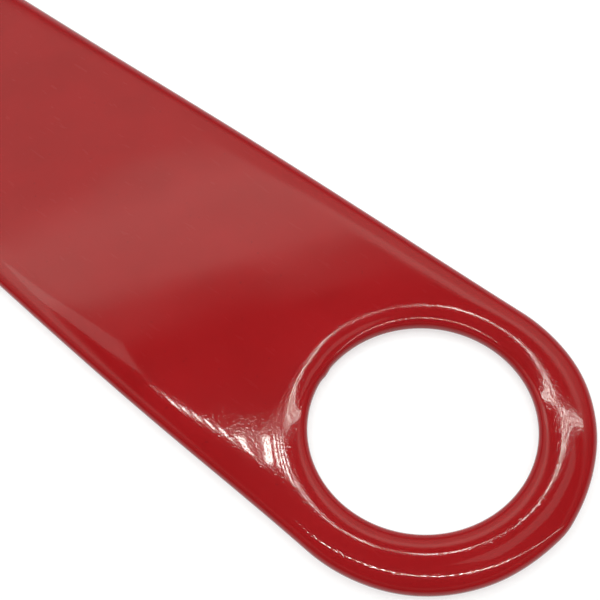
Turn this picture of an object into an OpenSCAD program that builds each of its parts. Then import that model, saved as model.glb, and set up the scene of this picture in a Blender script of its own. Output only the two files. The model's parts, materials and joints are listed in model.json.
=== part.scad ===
// Hive tool: one stamped steel bar with a ring end and a flared chisel blade,
// its handle dipped in thick vinyl. Millimetres. +X runs from the ring to the
// blade, +Z is up from the flat bar, and the origin is the ring hole's centre
// at mid thickness.

/* [Steel bar] */
// Overall length of the steel, ring end to cutting edge
steel_length = 250; // [230:1:300]
// Width of the bar stock
bar_w = 38; // [36:0.5:44]
// Thickness of the bar stock
bar_t = 2; // [1.6:0.1:3]
// Diameter of the punched hole in the ring end
punched_d = 28.7; // [24:0.1:29.5]

/* [Blade] */
// Width across the cutting edge
blade_w = 46; // [45:0.5:56]
// Length of the parallel stretch behind the cutting edge
blade_land = 22; // [18:1:30]
// Length over which the bar flares out to the blade
flare_length = 44; // [36:1:60]
// Radius of the two outer corners
corner_r = 2; // [1:0.5:4]
// Length of the ground bevel
bevel_length = 14; // [8:1:16]
// Thickness left at the cutting edge
edge_t = 0.4; // [0.2:0.1:0.8]

/* [Nail puller] */
// Radius of the round end, which passes a nail head
nail_head_r = 5.5; // [4.5:0.1:6.5]
// Radius of the narrow end, which grips the shank
nail_shank_r = 1.5; // [1.2:0.1:2.2]
// Distance between the centres of the two ends
nail_span = 14; // [11:1:18]
// Distance from the cutting edge to the narrow end's centre
nail_setback = 32; // [26:1:40]

/* [Vinyl grip] */
// Length of the dipped handle, ring end to dip line
grip_length = 150; // [120:1:165]
// Vinyl thickness on the two flat faces
face_coat = 0.35; // [0.3:0.05:0.6]
// Vinyl thickness on the outer edge
edge_coat = 1; // [0.8:0.1:1.4]
// Vinyl thickness inside the ring hole
hole_coat = 1; // [0.6:0.1:1.4]
// Radius of the rounding at the rims of the ring hole
rim_r = 0.7; // [0.4:0.1:0.9]

/* [Hidden] */
$fn = 96;
past = 1; // how far a cutter runs past what it cuts

tip_x = steel_length - bar_w / 2;
grip_w = bar_w + 2 * edge_coat;
grip_t = bar_t + 2 * face_coat;
dip_x = grip_length - grip_w / 2;
ring_hole_r = punched_d / 2 - hole_coat;

flare_x = tip_x - blade_land - flare_length;
half_step = (blade_w - bar_w) / 4; // rise of each of the flare's two arcs
half_run = flare_length / 2;
flare_r = (half_run * half_run + half_step * half_step) / (2 * half_step);

nail_x = tip_x - nail_setback - nail_span;
touch_scale = 0.99; // how near the nail puller's sides come to true tangents

// The bar's outline, without its hole.
module bar_outline() {
    circle(r = bar_w / 2);
    translate([0, -bar_w / 2])
        square([tip_x - past, bar_w]);
    flare_side();
    mirror([0, 1])
        flare_side();
    translate([tip_x - blade_land, -blade_w / 2])
        rounded_end(blade_land, blade_w, corner_r);
}

// A rectangle whose two corners on the +X side are round.
module rounded_end(length, width, r) {
    square([length - r, width]);
    translate([0, r])
        square([length, width - 2 * r]);
    for (y = [r, width - r])
        translate([length - r, y])
            circle(r = r);
}

// Half of the flare: a hollow arc that leaves the bar's side tangentially,
// then a full arc that runs into the blade's side tangentially.
module flare_side() {
    difference() {
        translate([flare_x, 0])
            square([half_run, bar_w / 2 + half_step]);
        translate([flare_x, bar_w / 2 + flare_r])
            circle(r = flare_r, $fn = 240);
    }
    intersection() {
        translate([flare_x + half_run, 0])
            square([half_run, blade_w / 2]);
        translate([flare_x + flare_length, blade_w / 2 - flare_r])
            circle(r = flare_r, $fn = 240);
    }
}

// Two round ends joined by straight sides, narrow end towards +X. The sides are
// the common tangents of two circles a hair smaller than the round ends, so
// that they cross the arcs instead of only touching them.
module teardrop(r1, r2, span) {
    inner_1 = touch_scale * r1;
    inner_2 = touch_scale * r2;
    lean = asin((inner_1 - inner_2) / span);
    circle(r = r1);
    translate([span, 0])
        circle(r = r2);
    polygon([
        [inner_1 * sin(lean), inner_1 * cos(lean)],
        [span + inner_2 * sin(lean), inner_2 * cos(lean)],
        [span + inner_2 * sin(lean), -inner_2 * cos(lean)],
        [inner_1 * sin(lean), -inner_1 * cos(lean)],
    ]);
}

// Everything above the ground face, which slopes from full thickness to the edge.
module bevel_cutter() {
    rotate([90, 0, 0])
        linear_extrude(height = blade_w + 2 * past, center = true)
            polygon([
                [tip_x - bevel_length, bar_t / 2],
                [tip_x, edge_t - bar_t / 2],
                [tip_x + past, edge_t - bar_t / 2],
                [tip_x + past, bar_t / 2 + past],
                [tip_x - bevel_length, bar_t / 2 + past],
            ]);
}

module steel_bar_solid() {
    linear_extrude(height = bar_t, center = true)
        bar_outline();
}

module steel_blade() {
    color("silver")
        difference() {
            steel_bar_solid();
            cylinder(h = bar_t + 2 * past, d = punched_d, center = true);
            translate([nail_x, 0, -bar_t / 2 - past])
                linear_extrude(height = bar_t + 2 * past)
                    teardrop(nail_head_r, nail_shank_r, nail_span);
            bevel_cutter();
        }
}

// Half of the coated bar's cross section, from the middle out to a full round edge.
module grip_half_section() {
    translate([0, -grip_t / 2])
        square([(grip_w - grip_t) / 2, grip_t]);
    intersection() {
        translate([(grip_w - grip_t) / 2, 0])
            circle(d = grip_t);
        translate([0, -grip_t / 2])
            square([grip_w / 2, grip_t]);
    }
}

// The coated handle as a solid: half a round end, and the straight stretch.
module grip_envelope() {
    rotate([0, 0, 90])
        rotate_extrude(angle = 180)
            grip_half_section();
    rotate([90, 0, 90])
        linear_extrude(height = dip_x) {
            grip_half_section();
            mirror([1, 0])
                grip_half_section();
        }
}

// The ring hole with its rounded rims, as a cutter.
module ring_hole_cutter() {
    rim_z = grip_t / 2 - rim_r;
    rotate_extrude()
        difference() {
            translate([0, -grip_t / 2 - past])
                square([ring_hole_r + rim_r, grip_t + 2 * past]);
            translate([ring_hole_r, -rim_z])
                square([rim_r + past, 2 * rim_z]);
            for (z = [-rim_z, rim_z])
                translate([ring_hole_r + rim_r, z])
                    circle(r = rim_r);
        }
}

module vinyl_grip() {
    color("firebrick")
        difference() {
            grip_envelope();
            ring_hole_cutter();
            difference() {
                steel_bar_solid();
                cylinder(h = grip_t + 2 * past, d = punched_d, center = true);
            }
        }
}

steel_blade();
vinyl_grip();
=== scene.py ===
"""Hive tool: a stamped steel bar with a flared chisel blade, its ring-ended
handle dipped in thick glossy vinyl. Metres, in the CAD frame: the origin is the
ring hole's centre, +X runs from the ring to the blade, +Z is up off the bar.
"""

import json
import math

import bmesh
import bpy
import numpy as np
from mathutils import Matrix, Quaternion, Vector


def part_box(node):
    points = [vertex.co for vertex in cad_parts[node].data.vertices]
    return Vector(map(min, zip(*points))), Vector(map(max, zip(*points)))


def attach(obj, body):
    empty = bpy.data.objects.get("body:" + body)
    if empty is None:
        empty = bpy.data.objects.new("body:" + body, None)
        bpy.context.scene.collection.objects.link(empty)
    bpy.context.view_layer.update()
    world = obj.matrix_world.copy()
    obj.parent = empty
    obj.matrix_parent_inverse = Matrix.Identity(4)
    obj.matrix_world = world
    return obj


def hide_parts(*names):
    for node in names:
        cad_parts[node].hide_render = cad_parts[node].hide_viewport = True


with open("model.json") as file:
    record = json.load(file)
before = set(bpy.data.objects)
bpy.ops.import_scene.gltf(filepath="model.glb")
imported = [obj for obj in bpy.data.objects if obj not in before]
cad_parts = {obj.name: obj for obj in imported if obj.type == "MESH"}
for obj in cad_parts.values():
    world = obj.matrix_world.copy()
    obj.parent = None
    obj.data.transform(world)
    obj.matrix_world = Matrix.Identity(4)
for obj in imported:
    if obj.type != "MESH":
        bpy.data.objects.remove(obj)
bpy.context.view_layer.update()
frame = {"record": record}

MM = 0.001

# ------------------------------------------------------------ sizes from the frame

steel_low, steel_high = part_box("steel_blade")
grip_low, grip_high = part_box("vinyl_grip")
mounts = {mount["name"]: mount for mount in frame["record"]["mounts"]}

ring_hole_r = mounts["ring_hole"]["dims"]["r_mm"] * MM
grip_half_w = grip_high.y
grip_half_t = grip_high.z
dip_x = grip_high.x
tip_x = steel_high.x
blade_half_w = steel_high.y
steel_half_t = steel_high.z
bar_half_w = -steel_low.x
edge_coat = grip_half_w - bar_half_w

# What the boxes don't give: the same values as in the part's source.
HOLE_COAT = 1.0 * MM
BLADE_LAND = 22 * MM
FLARE_LENGTH = 44 * MM
CORNER_R = 2 * MM
BEVEL_LENGTH = 14 * MM
EDGE_T = 0.4 * MM
EDGE_R = 0.4 * MM  # the tumbled edges of the stamping
NAIL_HEAD_R = 5.5 * MM
NAIL_SHANK_R = 1.5 * MM
NAIL_SPAN = 14 * MM
NAIL_SETBACK = 32 * MM

# ------------------------------------------------------------ mesh helpers


def grid_faces(rows, columns, start):
    """Quads of a point grid that is stored row after row from index `start`."""
    corner = start + np.arange(rows - 1)[:, None] * columns + np.arange(columns - 1)
    quads = np.stack([corner, corner + 1, corner + columns + 1, corner + columns], axis=-1)
    return quads.reshape(-1, 4).tolist()


def link(name, mesh):
    made = bpy.data.objects.new(name, mesh)
    bpy.context.scene.collection.objects.link(made)
    return made


def weld_patches(name, patches, weld):
    """One mesh from point grids of shape (rows, columns, 3), joined where they meet."""
    points, faces = [], []
    for grid in patches:
        faces += grid_faces(grid.shape[0], grid.shape[1], len(points))
        points += grid.reshape(-1, 3).tolist()
    mesh = bpy.data.meshes.new(name)
    mesh.from_pydata(points, [], faces)
    work = bmesh.new()
    work.from_mesh(mesh)
    bmesh.ops.remove_doubles(work, verts=work.verts, dist=weld)
    bmesh.ops.recalc_face_normals(work, faces=work.faces)
    work.to_mesh(mesh)
    work.free()
    return link(name, mesh)


def ripple(x, y, length, seed, waves=6):
    """A smooth wandering height from -1 to 1, about `length` from crest to crest."""
    rng = np.random.default_rng(seed)
    total = 0
    for _ in range(waves):
        angle, phase = rng.uniform(0, math.tau, 2)
        along = (x * math.cos(angle) + y * math.sin(angle)) / (length * rng.uniform(0.7, 1.4))
        total = total + np.sin(along * math.tau + phase)
    return total / waves


# ------------------------------------------------------------ vinyl grip

# The coat rounds over broadly, from its outer edge and from its hole, on a superellipse.
CROWN_DEPTH = 4.5 * MM
CROWN_POWER = 2.5
RIM_ROWS = 16
WALL_ROWS = 4  # of the inner skin's rows, those up the steel's edge
TURN_ROWS = 6  # and those round its rim
TIP_COLUMNS = 96
CORE_COLUMNS = 72
FAN_END = 26 * MM  # where the lines that fan out from the ring run straight
FAN_STEPS = 32
HANDLE_STEPS = 72
LIP_STEPS = 9
LIP_LENGTH = 0.9 * MM
DIP_SWAY = 0.35 * MM  # how far the dip line wanders to either side
DIP_WAVE = 14 * MM  # from crest to crest
DIP_RIPPLE = 5 * MM  # and the same for its finer wandering
WELD = 0.0005 * MM

# Unevenness of the coat's thickness: how much, and how far from crest to crest.
FACE_SWELL = 0.02 * MM
FACE_WAVE = 15 * MM
EDGE_SWELL = 0.03 * MM
EDGE_WAVE = 26 * MM
FACE_SHIFT = 40 * MM  # sets the swells of the two faces apart
# A broad run along each long side: (side of the axis, x, height, spread).
SIDE_RUNS = [(1, 36 * MM, 0.38 * MM, 30 * MM), (-1, 48 * MM, 0.32 * MM, 28 * MM)]
TIP_SHRINK = 0.10 * MM  # room for the drip at the ring's tip
TIP_REACH = 15 * MM  # how far up the handle the rim goes back to full width

# Runs and drips of the coat: (degrees round the ring, height, spread in degrees).
TIP_DRIPS = [
    (180, 0.11 * MM, 5),
    (-159, -0.13 * MM, 13),
    (-121, 0.12 * MM, 13),
    (164, -0.06 * MM, 9),
    (125, 0.10 * MM, 16),
]
HOLE_DRIPS = [(9, 0.16 * MM, 3)]

mid_r = (ring_hole_r + grip_half_w) / 2
band_depth = grip_half_w - mid_r


def drips(angle, bumps):
    """Height of the runs in `bumps` at an angle round the ring, in degrees."""
    total = 0
    for centre, height, spread in bumps:
        away = (angle - centre + 180) % 360 - 180
        total = total + height * np.exp(-((away / spread) ** 2))
    return total


def rise(inset):
    """The coat's height at `inset` from an edge, as a share of its full height."""
    short = (1 - inset / CROWN_DEPTH).clip(0, 1)
    return (1 - short**CROWN_POWER) ** (1 / CROWN_POWER)


def rim_insets():
    """Insets of the outer skin's rows from an edge to the rim's middle, closest at the edge."""
    last = math.acos((1 - band_depth / CROWN_DEPTH) ** (CROWN_POWER / 2))
    turn = np.linspace(0, last, RIM_ROWS)
    inset = CROWN_DEPTH * (1 - np.cos(turn) ** (2 / CROWN_POWER))
    inset[-1] = band_depth
    return inset


def wall_rows(coat):
    """Insets and heights of the inner skin's rows: up the steel's edge, round its rim, inwards."""
    wall = np.linspace(0, steel_half_t - EDGE_R, WALL_ROWS)
    turn = np.linspace(0, math.pi / 2, TURN_ROWS + 1)[1:]
    inwards = np.linspace(coat + EDGE_R, band_depth, RIM_ROWS + 1 - WALL_ROWS - TURN_ROWS)[1:]
    inset = [np.full(WALL_ROWS, coat), coat + EDGE_R * (1 - np.cos(turn)), inwards]
    rim = steel_half_t - EDGE_R * (1 - np.sin(turn))
    height = [wall, rim, np.full(len(inwards), steel_half_t)]
    return np.concatenate(inset), np.concatenate(height)


def coat_skin(plan, face):
    """The outer skin over plan points: broad rims, with the runs and swells of a dipped coat.

    `face` is 1 for the top and -1 for the underside."""
    x, y = plan[..., 0], plan[..., 1]
    r = np.hypot(x, y)
    behind = x <= 0
    from_axis = np.where(behind, r, np.abs(y))
    edge_rise = rise(grip_half_w - from_axis)
    hole_rise = rise(r - ring_hole_r)
    sink = FACE_SWELL * (ripple(x, y + face * FACE_SHIFT, FACE_WAVE, seed=5) - 1)
    z = face * (grip_half_t + sink) * edge_rise * hole_rise

    angle = np.degrees(np.arctan2(y, x))
    near_tip = np.exp(-((x.clip(0) / TIP_REACH) ** 2))
    swell = EDGE_SWELL * (ripple(x, y, EDGE_WAVE, seed=11) - near_tip)
    side_run = 0
    for side, run_x, height, spread in SIDE_RUNS:
        along_side = np.exp(-(((x - run_x) / spread) ** 2)) * (1 - near_tip)
        side_run = side_run + height * along_side * (np.sign(y) == side)
    edge_share = ((from_axis - mid_r) / band_depth).clip(0, 1)
    outwards = edge_share * (drips(angle, TIP_DRIPS) - TIP_SHRINK * near_tip + swell + side_run)
    hole_share = ((mid_r - r) / band_depth).clip(0, 1)
    inwards = hole_share * drips(angle, HOLE_DRIPS)
    round_ring = np.where(behind, outwards, 0) - inwards
    push_x = round_ring * x / r
    push_y = round_ring * y / r + np.where(behind, 0, outwards * np.sign(y))
    return np.stack([x + push_x, y + push_y, z], axis=-1)


def steel_skin(plan, height):
    """The inner skin over plan points, at the height of each row."""
    z = np.broadcast_to(height[:, None], plan.shape[:2])
    return np.concatenate([plan, z[..., None]], axis=-1)


def dip_end(y, z):
    """X where the coat ends, at a place round the bar's section.

    The section is thin, so z is stretched for the two faces to wander apart."""
    fine = 0.4
    broad_sway = ripple(y, z * 6, DIP_WAVE, seed=3)
    fine_sway = fine * ripple(y, z * 9, DIP_RIPPLE, seed=8)
    return dip_x - (1 + fine) * DIP_SWAY + DIP_SWAY * (broad_sway + fine_sway)


def handle_plan(start_x, start_y, y, end):
    """Rows of plan points from near the ring, straight along the handle to the dip line.

    Gives the points, and how much of the coat's thickness is left at each along the way."""
    start_x, start_y, y, end = (values[:, None] for values in (start_x, start_y, y, end))
    fan = np.linspace(0, 1, FAN_STEPS)
    along = np.linspace(0, 1, HANDLE_STEPS)[1:]
    lip_turn = np.linspace(math.pi / 2, 0, LIP_STEPS)[1:]
    fan_x = start_x + (FAN_END - start_x) * fan
    straight_x = FAN_END + (end - LIP_LENGTH - FAN_END) * along
    lip_x = end - LIP_LENGTH * (1 - np.cos(lip_turn))
    x = np.concatenate([fan_x, straight_x, lip_x], axis=1)
    past_fan = np.broadcast_to(y, (len(y), x.shape[1] - FAN_STEPS))
    plan = np.stack([x, np.concatenate([start_y + (y - start_y) * fan, past_fan], axis=1)], axis=-1)
    share = np.append(np.ones(x.shape[1] - len(lip_turn)), np.sin(lip_turn))
    return plan, share[None, :, None]


def handle_skins(face, start_x, outer_rows, inner_rows):
    """Outer and inner skin of a patch that runs to the dip line, where they meet in a lip.

    Outer rows are (start y, y, height for the dip line), inner rows (start y, y, height)."""
    outer_start, outer_y, level = outer_rows
    inner_start, inner_y, height = inner_rows
    end = dip_end(outer_y, face * level)
    plan, share = handle_plan(start_x, outer_start, outer_y, end)
    outer = coat_skin(plan, face)
    plan, share = handle_plan(start_x, inner_start, inner_y, end)
    inner = steel_skin(plan, face * height)
    return [inner + share * (outer - inner), inner]


def side_patches(face):
    """The straight rims along both long sides, on one face."""
    inset = rim_insets()
    level = grip_half_t * rise(inset)
    steel_inset, height = wall_rows(edge_coat)
    patches = []
    for way in (1, -1):
        y = way * (grip_half_w - inset)
        steel_y = way * (grip_half_w - steel_inset)
        patches += handle_skins(face, np.zeros(len(y)), (y, y, level), (steel_y, steel_y, height))
    return patches


def core_patches(face):
    """The middle of the handle, between the rims and out from the ring."""
    turn = np.linspace(math.pi / 2, -math.pi / 2, CORE_COLUMNS + 1)
    start_x, start_y = mid_r * np.cos(turn), mid_r * np.sin(turn)
    y = mid_r * np.linspace(1, -1, CORE_COLUMNS + 1)
    level = np.full(len(y), grip_half_t * rise(np.array(band_depth)))
    height = np.full(len(y), steel_half_t)
    return handle_skins(face, start_x, (start_y, y, level), (start_y, y, height))


def ring_plan(turn, radius):
    """Rows of arcs round the hole, one for each radius."""
    return np.stack([radius[:, None] * np.cos(turn), radius[:, None] * np.sin(turn)], axis=-1)


def ring_patches(face):
    """The rim round the ring's tip, and the rim all round the hole, on one face."""
    tip_turn = np.linspace(math.pi / 2, 3 * math.pi / 2, TIP_COLUMNS + 1)
    core_turn = np.linspace(-math.pi / 2, math.pi / 2, CORE_COLUMNS + 1)
    edge_r = grip_half_w - rim_insets()
    steel_inset, height = wall_rows(edge_coat)
    patches = [
        coat_skin(ring_plan(tip_turn, edge_r), face),
        steel_skin(ring_plan(tip_turn, grip_half_w - steel_inset), face * height),
    ]
    hole_r = ring_hole_r + rim_insets()
    steel_inset, height = wall_rows(HOLE_COAT)
    for turn in (tip_turn, core_turn):
        patches.append(coat_skin(ring_plan(turn, hole_r), face))
        patches.append(steel_skin(ring_plan(turn, ring_hole_r + steel_inset), face * height))
    return patches


def make_grip():
    """The vinyl as a true shell: its outer skin, and the inner one against the steel."""
    patches = []
    for face in (1, -1):
        patches += side_patches(face) + core_patches(face) + ring_patches(face)
    grip = weld_patches("vinyl_dip_grip", patches, WELD)
    grip.data.polygons.foreach_set("use_smooth", [True] * len(grip.data.polygons))
    return grip


# ------------------------------------------------------------ steel bar

EDGE_ROWS = 6
RING_STEPS = 96
FLARE_STEPS = 24
CORNER_STEPS = 12

bevel_x = tip_x - BEVEL_LENGTH
nail_x = tip_x - NAIL_SETBACK - NAIL_SPAN


def arc(centre, radius, first, last, steps):
    """Points on an arc, angles in radians."""
    turn = np.linspace(first, last, steps + 1)
    return np.stack([centre[0] + radius * np.cos(turn), centre[1] + radius * np.sin(turn)], axis=1)


def bar_outline():
    """The bar's outline, anticlockwise."""
    half_run = FLARE_LENGTH / 2
    half_step = (blade_half_w - bar_half_w) / 2
    flare_r = (half_run**2 + half_step**2) / (2 * half_step)
    swing = math.asin(half_run / flare_r)
    flare_x = tip_x - BLADE_LAND - FLARE_LENGTH
    flare_end = flare_x + FLARE_LENGTH
    up = math.pi / 2
    below = np.concatenate(
        [
            arc((0, 0), bar_half_w, -math.pi, -up, RING_STEPS),
            arc((flare_x, -bar_half_w - flare_r), flare_r, up, up - swing, FLARE_STEPS),
            arc((flare_end, flare_r - blade_half_w), flare_r, -up - swing, -up, FLARE_STEPS)[1:],
            arc((tip_x - CORNER_R, CORNER_R - blade_half_w), CORNER_R, -up, 0, CORNER_STEPS),
        ]
    )
    above = below[::-1] * (1, -1)
    return np.concatenate([below, above[:-1]])


def nail_outline():
    """The nail puller's teardrop, clockwise, narrow end towards the blade."""
    lean = math.asin((NAIL_HEAD_R - NAIL_SHANK_R) / NAIL_SPAN)
    side = math.pi / 2 - lean
    head = arc((nail_x, 0), NAIL_HEAD_R, 2 * math.pi - side, side, RING_STEPS)
    shank = arc((nail_x + NAIL_SPAN, 0), NAIL_SHANK_R, side, -side, FLARE_STEPS)
    return np.concatenate([head, shank])


def inset_loop(loop, inset):
    """The loop moved to its left by `inset`, into the metal."""
    before = loop - np.roll(loop, 1, axis=0)
    after = np.roll(loop, -1, axis=0) - loop
    before /= np.linalg.norm(before, axis=1)[:, None]
    after /= np.linalg.norm(after, axis=1)[:, None]
    along = before + after
    along /= np.linalg.norm(along, axis=1)[:, None]
    mitre = (along * after).sum(axis=1)[:, None]
    left = np.stack([-along[:, 1], along[:, 0]], axis=1)
    return loop + left * inset / mitre


def edge_rows():
    """(inset, height) of an edge's rows, from the underside's flat to the top's."""
    turn = np.linspace(0, math.pi / 2, EDGE_ROWS)
    inset = EDGE_R * (1 - np.cos(turn))
    height = steel_half_t - EDGE_R * (1 - np.sin(turn))
    return list(zip(inset[::-1], -height[::-1])) + list(zip(inset, height))


def thickness_share(x):
    """How much of the bar's thickness the ground bevel leaves at x."""
    ground = min(max((x - bevel_x) / BEVEL_LENGTH, 0), 1)
    return 1 - ground * (1 - EDGE_T / (2 * steel_half_t))


def make_steel():
    """The bar: rounded edges round each outline, flat faces between them, a ground bevel."""
    mesh = bpy.data.meshes.new("steel_bar_blade")
    work = bmesh.new()
    rim_edges = {-1: [], 1: []}
    hole = arc((0, 0), ring_hole_r + HOLE_COAT, math.tau, 0, 2 * RING_STEPS)[:-1]
    for loop in (bar_outline(), hole, nail_outline()):
        rows = []
        for inset, height in edge_rows():
            plan = inset_loop(loop, inset)
            rows.append([work.verts.new((x, y, height)) for x, y in plan])
        count = len(loop)
        for low, high in zip(rows, rows[1:]):
            for j in range(count):
                k = (j + 1) % count
                work.faces.new((low[j], low[k], high[k], high[j])).smooth = True
        for face, row in ((-1, rows[0]), (1, rows[-1])):
            rim_edges[face] += [work.edges.get((row[j], row[(j + 1) % count])) for j in range(count)]
    for face in (-1, 1):
        bmesh.ops.triangle_fill(work, edges=rim_edges[face], use_beauty=True)
    everything = work.verts[:] + work.edges[:] + work.faces[:]
    bmesh.ops.bisect_plane(work, geom=everything, plane_co=(bevel_x, 0, 0), plane_no=(1, 0, 0))
    for vert in work.verts:
        vert.co.z = -steel_half_t + (vert.co.z + steel_half_t) * thickness_share(vert.co.x)
    bmesh.ops.recalc_face_normals(work, faces=work.faces)
    work.to_mesh(mesh)
    work.free()
    return link("steel_bar_blade", mesh)


# ------------------------------------------------------------ materials

# Colours are linear. Noise scales, in the materials, are in features per metre.
VINYL_DEEP = (0.236, 0.0032, 0.0046, 1)
VINYL_PALE = (0.264, 0.0042, 0.0062, 1)
VINYL_SPECK = (0.12, 0.004, 0.006, 1)
RUN_DEPTH = 0.005 * MM
PIT_DEPTH = 0.0012 * MM
STEEL_DARK = (0.44, 0.445, 0.45, 1)
STEEL_LIGHT = (0.62, 0.625, 0.63, 1)
STEEL_STAIN = (0.34, 0.335, 0.32, 1)
GRAIN_DEPTH = 0.006 * MM
SCRATCH_DEPTH = 0.004 * MM
LINE_WIDTH = 0.02 * MM  # over which the grain turns into the bevel's grinding


class Nodes:
    """Builds a node tree by short calls; a socket passed as a value becomes a link."""

    def __init__(self, tree):
        self.tree = tree
        tree.nodes.clear()

    def add(self, kind, **inputs):
        node = self.tree.nodes.new(kind)
        for name, value in inputs.items():
            self.feed(node, name.replace("_", " "), value)
        return node

    def feed(self, node, which, value):
        """Feeds a value or a socket to the input of that name or number."""
        socket = node.inputs[which]
        if isinstance(value, bpy.types.NodeSocket):
            self.tree.links.new(value, socket)
        else:
            socket.default_value = value

    def math(self, operation, a, b=0.0):
        node = self.tree.nodes.new("ShaderNodeMath")
        node.operation = operation
        self.feed(node, 0, a)
        self.feed(node, 1, b)
        return node.outputs[0]

    def noise(self, where, scale, detail, rough=0.5):
        node = self.add("ShaderNodeTexNoise", Vector=where, Scale=scale, Detail=detail, Roughness=rough)
        return node.outputs["Fac"]

    def stretch(self, where, scale, turn=0.0):
        """The coordinates multiplied per axis, after a turn about Z."""
        node = self.add("ShaderNodeMapping", Vector=where, Scale=scale, Rotation=(0, 0, turn))
        return node.outputs[0]

    def remap(self, value, low, high, to_low=0.0, to_high=1.0):
        """The value with low..high carried over to to_low..to_high, and held at both ends."""
        node = self.add("ShaderNodeMapRange", Value=value, From_Min=low, From_Max=high)
        node.inputs["To Min"].default_value = to_low
        node.inputs["To Max"].default_value = to_high
        return node.outputs[0]

    def blend(self, share, a, b):
        """Colour a where share is 0, b where it is 1."""
        node = self.tree.nodes.new("ShaderNodeMix")
        node.data_type = "RGBA"
        self.feed(node, 0, share)
        self.feed(node, 6, a)
        self.feed(node, 7, b)
        return node.outputs[2]

    def bump(self, height, distance, normal=None):
        node = self.add("ShaderNodeBump", Height=height, Distance=distance)
        if normal is not None:
            self.feed(node, "Normal", normal)
        return node.outputs[0]


def new_material(name):
    """A material, its nodes, its shader, and the object-space position socket."""
    material = bpy.data.materials.new(name)
    material.use_nodes = True
    nodes = Nodes(material.node_tree)
    shader = nodes.add("ShaderNodeBsdfPrincipled")
    output = nodes.add("ShaderNodeOutputMaterial")
    nodes.tree.links.new(shader.outputs[0], output.inputs[0])
    where = nodes.add("ShaderNodeTexCoord").outputs["Object"]
    return material, nodes, shader, where


def vinyl_material():
    """Glossy dipped vinyl: a clear skin over red, with slow runs, fine pits, specks and scuffs."""
    material, nodes, shader, where = new_material("gloss_red_vinyl")
    shade = nodes.noise(where, 90, detail=3)
    colour = nodes.blend(nodes.remap(shade, 0.3, 0.7), VINYL_DEEP, VINYL_PALE)
    speck = nodes.remap(nodes.noise(where, 1400, detail=1), 0.73, 0.80)
    colour = nodes.blend(nodes.math("MULTIPLY", speck, 0.35), colour, VINYL_SPECK)
    nodes.feed(shader, "Base Color", colour)

    scuff = nodes.noise(nodes.stretch(where, (260, 1500, 900), 0.5), 1.0, detail=4)
    scuffed = nodes.remap(scuff, 0.62, 0.80)
    dulled = nodes.math("MULTIPLY", scuffed, 0.12)
    nodes.feed(shader, "Roughness", nodes.math("ADD", 0.24, dulled))

    runs = nodes.bump(nodes.noise(where, 210, detail=1), RUN_DEPTH)
    pits = nodes.remap(nodes.noise(where, 4600, detail=0), 0.52, 0.72)
    pitted = nodes.bump(pits, PIT_DEPTH, runs)
    nodes.feed(shader, "Coat Normal", pitted)
    nodes.feed(shader, "Normal", pitted)
    shader.inputs["IOR"].default_value = 1.5
    shader.inputs["Specular IOR Level"].default_value = 0.04
    shader.inputs["Coat Weight"].default_value = 1.0
    shader.inputs["Coat Roughness"].default_value = 0.03
    shader.inputs["Coat IOR"].default_value = 1.5
    return material


def steel_material():
    """Satin steel: lengthwise grain on the flats, crosswise grinding on the bevel."""
    material, nodes, shader, where = new_material("satin_steel")
    axes = nodes.add("ShaderNodeSeparateXYZ", Vector=where).outputs
    normal = nodes.add("ShaderNodeNewGeometry").outputs["Normal"]
    facing = nodes.add("ShaderNodeSeparateXYZ", Vector=normal).outputs
    on_top = nodes.remap(facing["Z"], 0.5, 0.9)
    past_line = nodes.remap(axes["X"], bevel_x - LINE_WIDTH / 2, bevel_x + LINE_WIDTH / 2)
    ground = nodes.math("MULTIPLY", on_top, past_line)

    grain = nodes.noise(nodes.stretch(where, (35, 3200, 3200)), 1.0, detail=4, rough=0.6)
    grind = nodes.noise(nodes.stretch(where, (3600, 45, 45), 0.06), 1.0, detail=4, rough=0.65)
    cloud = nodes.noise(where, 45, detail=4, rough=0.6)
    lines = nodes.add("ShaderNodeMix", Factor=ground)
    nodes.feed(lines, 2, grain)
    nodes.feed(lines, 3, grind)
    lines = lines.outputs[0]

    colour = nodes.blend(nodes.remap(lines, 0.3, 0.7), STEEL_DARK, STEEL_LIGHT)
    stain = nodes.math("MULTIPLY", nodes.remap(cloud, 0.52, 0.75), 0.30)
    colour = nodes.blend(stain, colour, STEEL_STAIN)
    nodes.feed(shader, "Base Color", colour)
    roughness = nodes.remap(lines, 0.25, 0.75, 0.26, 0.44)
    dulled = nodes.math("MULTIPLY", nodes.remap(cloud, 0.4, 0.7), 0.08)
    nodes.feed(shader, "Roughness", nodes.math("ADD", roughness, dulled))
    grained = nodes.bump(lines, GRAIN_DEPTH)
    scratch = nodes.noise(nodes.stretch(where, (1900, 60, 300), 0.7), 1.0, detail=2)
    scratched = nodes.bump(nodes.remap(scratch, 0.66, 0.74), SCRATCH_DEPTH, grained)
    nodes.feed(shader, "Normal", scratched)
    shader.inputs["Metallic"].default_value = 1.0
    return material


def finish_piece(piece, node, material):
    """Gives the piece its material, and puts it in the place of a CAD node."""
    piece.data.materials.append(material)
    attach(piece, "root")
    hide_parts(node)


# ------------------------------------------------------------ studio

FLOOR_GAP = 0.02 * MM
FLOOR_SIZE = 6.0
FLOOR_GREY = 0.3
FLOOR_GLOW = 0.66  # a light box's glow, so that the floor looks white and still takes a soft shadow


def make_floor():
    material, _, shader, _ = new_material("pale_floor")
    shader.inputs["Base Color"].default_value = (FLOOR_GREY, FLOOR_GREY, FLOOR_GREY, 1)
    shader.inputs["Roughness"].default_value = 0.9
    shader.inputs["Emission Color"].default_value = (1, 1, 1, 1)
    shader.inputs["Emission Strength"].default_value = FLOOR_GLOW
    mesh = bpy.data.meshes.new("floor")
    half = FLOOR_SIZE / 2
    z = grip_low.z - FLOOR_GAP
    corners = [(-half, -half, z), (half, -half, z), (half, half, z), (-half, half, z)]
    mesh.from_pydata(corners, [], [(0, 1, 2, 3)])
    mesh.materials.append(material)
    link("floor", mesh)


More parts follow.
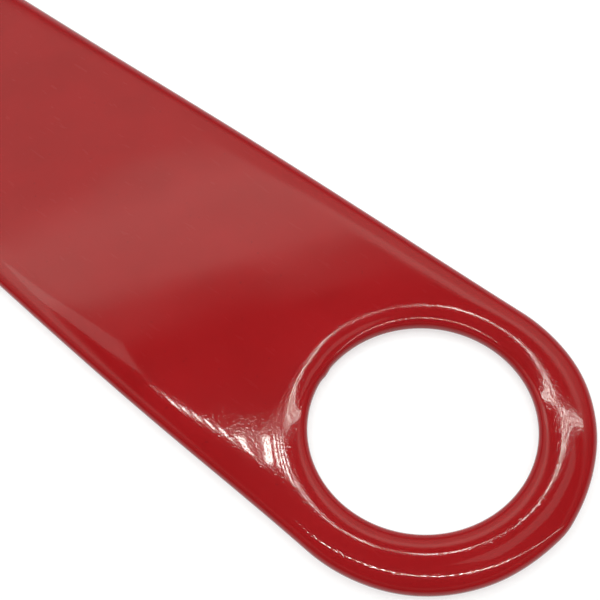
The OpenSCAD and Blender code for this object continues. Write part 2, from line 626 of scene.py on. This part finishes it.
# Lines that the lamps overhead lie on: (x, y) of a point, and the line's azimuth in degrees.
LAMP_HEIGHT = 0.300
TUBE_LINE = (0.073, -0.126, 46.4)
STRIP_LINE = (-0.013, 0.027, 29.7)
PANEL_LINE = (0.270, 0.000, 36)
GLOW_LINE = (-0.015, -0.112, 90)

# Each lamp: (name, line, place along it, length, width, radiance, rows, dots).
LAMPS = [
    ("tubes", TUBE_LINE, 0.114, 0.128, 0.011, 36, 1, 10),
    ("tubes_end", TUBE_LINE, -0.064, 0.228, 0.014, 38, 3, 18),
    ("strip", STRIP_LINE, 0.0, 0.250, 0.004, 90, 1, 25),
    ("strip_end", STRIP_LINE, -0.250, 0.250, 0.006, 12, 1, 1),
    ("panel_end", PANEL_LINE, 0.0, 0.110, 0.050, 0.8, 1, 1),
    ("glow", GLOW_LINE, 0.0, 0.130, 0.060, 0.6, 1, 1),
]
LAMP_COLOUR = (0.90, 1, 0.91, 1)
ROW_FILL = 0.55  # lit share of the pitch, where a lamp has several rows
DOT_FILL = 0.4  # and where its rows are broken into dots

FILL_HEIGHT = 1.2
FILL_SIZE = 1.6
FILL_RADIANCE = 2.5


def area_light(name, place, size, radiance, azimuth=0.0):
    """A rectangular light that faces straight down, its length at an azimuth in radians."""
    light = bpy.data.lights.new(name, "AREA")
    light.shape = "RECTANGLE"
    light.size, light.size_y = size
    light.energy = radiance * math.pi * size[0] * size[1]
    made = bpy.data.objects.new(name, light)
    bpy.context.scene.collection.objects.link(made)
    made.location = place
    made.rotation_euler = (0, 0, azimuth)
    return made


def split_lamp(light, rows, dots):
    """Splits an area light into lit rows along its length, and the rows into dots."""
    light.use_nodes = True
    nodes = Nodes(light.node_tree)
    place = nodes.add("ShaderNodeNewGeometry").outputs["Parametric"]
    axes = nodes.add("ShaderNodeSeparateXYZ", Vector=place).outputs
    lit = 1.0
    for axis, count, fill in (("Y", rows, ROW_FILL), ("X", dots, DOT_FILL)):
        if count > 1:
            phase = nodes.math("FRACT", nodes.math("MULTIPLY", axes[axis], float(count)))
            off_middle = nodes.math("ABSOLUTE", nodes.math("SUBTRACT", phase, 0.5))
            lit = nodes.math("MULTIPLY", lit, nodes.math("LESS_THAN", off_middle, fill / 2))
    emission = nodes.add("ShaderNodeEmission", Color=LAMP_COLOUR, Strength=lit)
    output = nodes.add("ShaderNodeOutputLight")
    nodes.tree.links.new(emission.outputs[0], output.inputs[0])


def make_lights():
    """The lamps overhead, and a large soft fill that evens out the red but isn't reflected."""
    for name, line, along, length, width, radiance, rows, dots in LAMPS:
        x, y, degrees = line
        azimuth = math.radians(degrees)
        place = (x + along * math.cos(azimuth), y + along * math.sin(azimuth), LAMP_HEIGHT)
        lamp = area_light(name, place, (length, width), radiance, azimuth)
        split_lamp(lamp.data, rows, dots)
    fill = area_light("fill", (0, 0, FILL_HEIGHT), (FILL_SIZE, FILL_SIZE), FILL_RADIANCE)
    fill.visible_glossy = False


# How bright the wall is by the sine of the elevation: (sine, radiance).
WALL_GLOW = [
    (0.40, 0.0),
    (0.60, 0.60),
    (0.69, 0.70),
    (0.74, 1.40),
    (0.775, 1.20),
    (0.80, 0.28),
    (0.82, 0.0),
]
WALL_AZIMUTH = math.radians(-32)
WALL_COLOUR = (1, 0.86, 0.77, 1)
WALL_DRIFT = 0.06  # how unevenly its bands lie
WALL_SIDES = 0.2  # share of its glow that is left to its sides
ROOM_GLOW = 0.06
HORIZON_GLOW = 0.6  # the pale backdrop all round, up to the sine below
HORIZON_TOP = 0.42


def make_world():
    """A dim room with a pale backdrop low down, and a soft warm wall beyond the blade."""
    world = bpy.data.worlds.new("studio")
    bpy.context.scene.world = world
    world.use_nodes = True
    nodes = Nodes(world.node_tree)
    way = nodes.add("ShaderNodeTexCoord").outputs["Generated"]
    axes = nodes.add("ShaderNodeSeparateXYZ", Vector=way).outputs
    drift = nodes.math("SUBTRACT", nodes.noise(way, 3.0, detail=3), 0.5)
    drift = nodes.math("MULTIPLY", drift, WALL_DRIFT)
    ramp = nodes.add("ShaderNodeValToRGB", Fac=nodes.math("ADD", axes["Z"], drift))
    stops = ramp.color_ramp
    stops.interpolation = "EASE"
    for place, _ in WALL_GLOW[2:]:
        stops.elements.new(place)
    peak = max(glow for _, glow in WALL_GLOW)
    for stop, (place, glow) in zip(stops.elements, WALL_GLOW):
        stop.position = place
        stop.color = (glow / peak, glow / peak, glow / peak, 1)
    along = nodes.math("MULTIPLY", axes["X"], math.cos(WALL_AZIMUTH))
    across = nodes.math("MULTIPLY", axes["Y"], math.sin(WALL_AZIMUTH))
    facing = nodes.remap(nodes.math("ADD", along, across), 0.1, 0.5, WALL_SIDES, 1.0)
    wall = nodes.math("MULTIPLY", nodes.math("MULTIPLY", ramp.outputs["Color"], peak), facing)
    horizon = nodes.remap(axes["Z"], HORIZON_TOP / 2, HORIZON_TOP, HORIZON_GLOW, 0.0)
    room = nodes.math("ADD", horizon, ROOM_GLOW)
    skies = [
        nodes.add("ShaderNodeBackground", Color=WALL_COLOUR, Strength=wall),
        nodes.add("ShaderNodeBackground", Color=(1, 1, 1, 1), Strength=room),
    ]
    both = nodes.add("ShaderNodeAddShader")
    output = nodes.add("ShaderNodeOutputWorld")
    nodes.tree.links.new(skies[0].outputs[0], both.inputs[0])
    nodes.tree.links.new(skies[1].outputs[0], both.inputs[1])
    nodes.tree.links.new(both.outputs[0], output.inputs[0])


def make_camera():
    """The camera, looking down past the ring along the handle."""
    aim = Vector((0.02307, -0.00394, 0))
    distance = 0.11934
    azimuth, elevation, roll = (math.radians(a) for a in (141.86, 55.33, 10.91))
    flat = distance * math.cos(elevation)
    up = distance * math.sin(elevation)
    offset = Vector((flat * math.cos(azimuth), flat * math.sin(azimuth), up))
    data = bpy.data.cameras.new("camera")
    data.lens = 55.27
    data.sensor_width = 36
    data.clip_start = 0.005
    made = bpy.data.objects.new("camera", data)
    bpy.context.scene.collection.objects.link(made)
    made.location = aim + offset
    made.rotation_mode = "QUATERNION"
    made.rotation_quaternion = (-offset).to_track_quat("-Z", "Y") @ Quaternion((0, 0, 1), -roll)
    bpy.context.scene.camera = made


finish_piece(make_grip(), "vinyl_grip", vinyl_material())
finish_piece(make_steel(), "steel_blade", steel_material())
make_floor()
make_world()
make_lights()
make_camera()
bpy.context.scene.view_settings.view_transform = "Standard"
